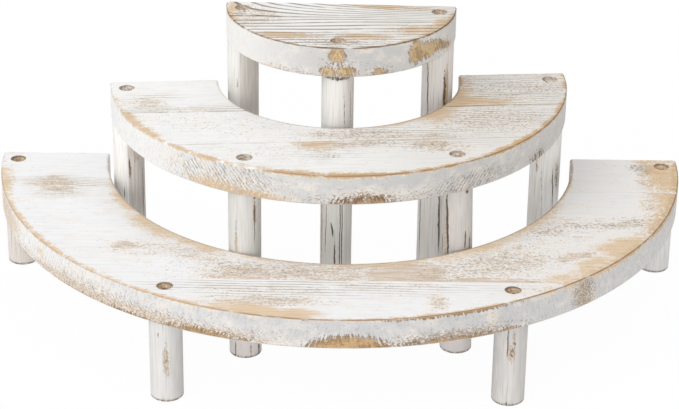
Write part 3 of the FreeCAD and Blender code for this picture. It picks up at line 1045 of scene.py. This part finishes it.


# %% [markdown]
# These are the legs one by one, each with the streaks, stains and cracks that can be
# seen on it. A crack is a very narrow, tall mark. The front legs, which the lamps reach
# fully, get darker paint as painted shade.

# %% The legs' marks
LEGS = {
    "bottom_left_end_leg": Leg(
        streaks=((60, 40, 25, 40, 0, -0.4),),
        cracks=((-40, 30, 1.2, 20, 0, 0.1), (-22, 26, 1.0, 26, 0, 0.0),
                (-4, 30, 1.0, 26, 0, 0.1), (14, 22, 1.0, 22, 0, 0.0)),
        shade=(-35, 0.3), paint=tone(217, 209, 202)),
    "bottom_left_front_leg": Leg(
        streaks=((4, 38, 13, 16, 0, 0.6),),
        cracks=((-23, 62, 1.6, 2, 0, 0.5), (4, 37, 10, 14, 0, -0.2), (-2, 1, 14, 5, 0, -0.2)),
        shade=(20, 0.2), paint=FRONT_WHITE_PAINTED_SHADE),
    "bottom_right_front_leg": Leg(
        streaks=((9, 60, 8, 10, 0, 0.5), (2, 49, 15, 9, 0, 0.5)),
        cracks=((10, 60, 5, 10, 0, -0.1), (3, 49, 12, 8, 0, -0.1),
                (-13, 58, 1.8, 14, 0, 0.7), (-8, 1, 8, 4, 0, 0.1)),
        paint=FRONT_GREY_PAINTED_SHADE),
    "bottom_right_end_leg": Leg(
        streaks=((40, 30, 20, 30, 0, -0.5),), cracks=((0, 24, 1.6, 6, 0, 0.5),),
        paint=LEG_GREY),
    "middle_left_end_leg": Leg(
        streaks=((8, 108, 7, 11, 0, 0.5), (34, 120, 20, 7, 0, 0.2)),
        cracks=((8, 110, 2.4, 8, 0, 0.9), (64, 84, 2.4, 24, 0, 0.7), (-15, 85, 1.5, 7, 0, 0.5)),
        shade=(1, 0.8), paint=LEG_WHITE),
    "middle_left_front_leg": Leg(
        streaks=((39, 134, 7, 12, 0, 0.9), (-30, 107, 5, 10, 0, 1.1)),
        cracks=((39, 134, 2.6, 10, 0, 0.9), (38.5, 118, 1.4, 12, 0, 0.5),
                (39, 150, 5, 3, 0, 0.7), (-29.5, 120, 1.2, 12, 0, 0.3),
                (-36, 5, 2.2, 12, 0, 0.5), (21, 9, 3, 6, 0, 0.1), (58, 5, 5, 12, 0, 0.4)),
        # darker paint as painted shade on this front leg
        shade=(48, 0.3), paint=tone(214, 213, 210)),
    "middle_right_front_leg": Leg(
        streaks=((-44, 105, 9, 26, 10, 0.5), (28, 108, 6, 12, 0, 0.3)),
        cracks=((-38, 120, 3.8, 30, 10, 0.9), (-60, 103, 1.8, 9, 6, 0.6),
                (27.5, 108, 2.8, 10, 0, 0.5), (51, 103, 2.8, 8, 0, 0.6), (30, 151, 9, 2, 0, 0.4)),
        # darker paint as painted shade on this front leg
        paint=tone(204, 201, 198)),
    # the mark at 48 degrees among this leg's cracks darkens its right side: painted shade
    "middle_right_end_leg": Leg(
        streaks=((-38, 100, 6, 7, 0, 0.6), (46, 90, 12, 20, 10, 0.0)),
        cracks=((-15.5, 84, 1.3, 26, 13, 0.1), (30, 80, 2.0, 20, 15, 0.7),
                (48, 92, 11, 15, 10, -0.15), (-38, 101, 3, 3, 0, -0.1)),
        paint=LEG_WHITE),
    "top_left_end_leg": Leg(
        streaks=((-20, 186, 4, 4, 0, 0.3),),
        cracks=((-65, 171, 2.6, 4, 0, 0.6), (-20, 182, 2, 1.5, 0, 0.3)),
        shade=(-11, 0.75), paint=tone(234, 233, 228)),
    "top_front_leg": Leg(
        streaks=((-66, 80, 9, 34, 0, 0.8), (30, 190, 22, 30, 0, -0.5)),
        cracks=((-14, 81, 2.4, 8, 43, 0.9), (-3.5, 54, 2.4, 12, 0, 0.9),
                (15, 77, 1.6, 40, 0, 0.9), (22.5, 77, 1.6, 40, 0, 0.9),
                (-40, 81, 1.5, 26, -6, 0.5), (27, 188, 1.3, 18, 0, 0.2),
                # the two marks at 221 mm darken a band just under the plank
                (53, 196, 1.3, 20, 0, 0.3), (0, 221.5, 80, 2.2, 0, 0.1), (0, 221, 3, 2, 0, 1.0)),
        shade=(30, 0.25), paint=tone(228, 226, 222)),
    "top_right_end_leg": Leg(
        streaks=((37, 178, 5, 20, 0, 1.5),),
        cracks=((-38, 184, 2.2, 28, 8, 0.9), (-58, 54, 2.0, 30, 4, 0.8),
                (27, 180, 6, 24, 9, 0.4), (23, 57, 3.8, 28, 7, 1.0)),
        paint=tone(232, 228, 225)),
}
for name, leg in LEGS.items():
    nodes[name].material_slots[0].material = leg_finish(name, leg)
print(len(LEGS), "legs")

# %% [markdown]
# The screws are zinc coated steel, sunk in their holes. Some whitewash has run onto
# them, and the heads have dulled.

# %% The screws' finish
STEEL = tone(176, 170, 160)
STEEL_SCRATCH = tone(132, 124, 114)


def screw_finish(name, washed_share, wash):
    """Dull steel with whitewash on it: the share says how much is covered."""
    finish = Finish(bpy.data.materials.new(name))
    place = finish.outputs("TexCoord")["Object"]
    millimetres = finish.stretch(place, (MM, MM, MM))
    blotch = finish.noise(finish.stretch(millimetres, (2.2, 2.2, 2.2)), 3, 0.6)
    scratch = finish.noise(finish.stretch(millimetres, (4, 0.3, 0.3)), 2, 0.5)
    least = 0.56 - washed_share * 0.2
    washed = finish.ramp(blotch, least, least + 0.08)
    steel = finish.blend(finish.ramp(scratch, 0.35, 0.65), STEEL, STEEL_SCRATCH)
    colour = finish.blend(washed * 0.85, steel, wash)
    return finished(finish, colour, finish.ramp(washed, 0, 1, 0.4, 0.7),
                    scratch * 0.05 + washed * 0.05, finish.ramp(washed, 0, 1, 0.7, 0.0))


screws = {"bottom": screw_finish("dull_zinc", 0.3, tone(224, 206, 180)),
          "middle": screw_finish("whitewashed_zinc", 1.0, tone(240, 236, 230)),
          "top": screw_finish("washed_zinc", 0.7, tone(232, 224, 214))}
found = [name for name in nodes if name.endswith("screw")]
for name in found:
    nodes[name].material_slots[0].material = screws[name.split("_")[0]]
print(len(found), "screws")

# %% [markdown]
# The stand is shown on a white sweep, as a shop shows it. The floor looks white to the
# camera, and in reflections, whatever light falls on it, but darkens where the stand
# keeps the light away, so that the stand has a faint shadow to stand on.

# %% Floor
WHITE = (1, 1, 1, 1)
FLOOR_GLOW = 0.965
FLOOR_HALF = 12.0
FLOOR_DROP = 0.2 * MM


def seen_directly(finish):
    """1 for what the camera, a reflection or a view through glass sees, else 0."""
    path = finish.outputs("LightPath")
    seen = finish.larger(path["Is Camera Ray"], path["Is Glossy Ray"])
    return finish.larger(seen, path["Is Transmission Ray"])


sweep = Finish(bpy.data.materials.new("white_sweep"))
plain = sweep.node("BsdfDiffuse", None, {"Color": tone(246, 246, 246)})
glow = sweep.node("Emission", None, {"Color": WHITE, "Strength": 1.0})
mixed = sweep.node("MixShader", None, {0: seen_directly(sweep) * FLOOR_GLOW, 1: plain, 2: glow})
sweep.node("OutputMaterial", None, {"Surface": mixed})

shape = bmesh.new()
bmesh.ops.create_grid(shape, x_segments=1, y_segments=1, size=FLOOR_HALF,
                      matrix=Matrix.Translation((0, 0, -FLOOR_DROP)))
floor_mesh = bpy.data.meshes.new("floor")
shape.to_mesh(floor_mesh)
shape.free()
floor_mesh.materials.append(sweep.owner)
floor = bpy.data.objects.new("floor", floor_mesh)
bpy.context.scene.collection.objects.link(floor)
print("floor", [round(side, 3) for side in floor.dimensions])

# %% [markdown]
# The room is the world around the stand. What the camera sees of it is white, but the
# light that it sends is dimmer, so that white paint doesn't clip and the lamps below
# can still shape the legs.

# %% Room
AMBIENT = 0.46

room = Finish(bpy.data.worlds.new("white_room"))
direct = seen_directly(room)
dim_sky = room.node("Background", None, {"Color": WHITE, "Strength": AMBIENT})
seen_sky = room.node("Background", None, {"Color": WHITE, "Strength": 1.0})
sky = room.node("MixShader", None, {0: direct, 1: dim_sky, 2: seen_sky})
room.node("OutputWorld", None, {"Surface": sky})
bpy.context.scene.world = room.owner
print("world", bpy.context.scene.world.name, "light", AMBIENT)

# %% [markdown]
# The light is soft and comes mostly from above, with a little more from the left, so
# that the faces are whiter than the rims and the legs fade to grey on their right. A
# low fill light from the front reaches the legs and feet under the planks.

# %% Lamps
def soft_sun(name, direction, strength, softness):
    """A lamp from a direction, with the strength that it adds to a white surface."""
    lamp = bpy.data.lights.new(name, "SUN")
    lamp.energy = strength * math.pi
    lamp.angle = math.radians(softness)
    lamp_object = bpy.data.objects.new(name, lamp)
    lamp_object.rotation_euler = Vector(direction).to_track_quat("Z", "Y").to_euler()
    bpy.context.scene.collection.objects.link(lamp_object)


soft_sun("key_light", (-0.55, -0.45, 0.80), 0.38, 40)
soft_sun("top_light", (0.15, -0.1, 1.0), 0.24, 60)
soft_sun("front_fill", (-0.15, -1.0, 0.22), 0.30, 24)
print([lamp.name for lamp in bpy.data.lights])

# %% [markdown]
# The camera stands where the photographer stood. Its place, turn, tilt and focal length
# were fitted to the rims, corners and legs in the photograph. They are given as a
# place in millimetres from the bottom rims' centre, and three angles in degrees.

# %% Camera
IMAGE_WIDTH = 679
FOCAL_PIXELS = 2278.4
SENSOR = 36.0
camera_place = Vector((-3.88, BOTTOM_Y - 1846.38, 959.43)) * MM
yaw, pitch, roll = (math.radians(angle) for angle in (0.1237, 26.160, 0.7794))

ahead = Vector((math.sin(yaw) * math.cos(pitch), math.cos(yaw) * math.cos(pitch), -math.sin(pitch)))
level_right = Vector((math.cos(yaw), -math.sin(yaw), 0))
level_up = level_right.cross(ahead)
right = level_right * math.cos(roll) + level_up * math.sin(roll)
up = level_up * math.cos(roll) - level_right * math.sin(roll)

lens = bpy.data.cameras.new("camera")
lens.sensor_fit = "HORIZONTAL"
lens.sensor_width = SENSOR
lens.lens = FOCAL_PIXELS / IMAGE_WIDTH * SENSOR
camera = bpy.data.objects.new("camera", lens)
turned = Matrix((right, up, -ahead)).transposed().to_4x4()
camera.matrix_world = Matrix.Translation(camera_place) @ turned
bpy.context.scene.collection.objects.link(camera)
bpy.context.scene.camera = camera
bpy.context.scene.view_settings.view_transform = "Standard"
print("lens", round(lens.lens, 2))
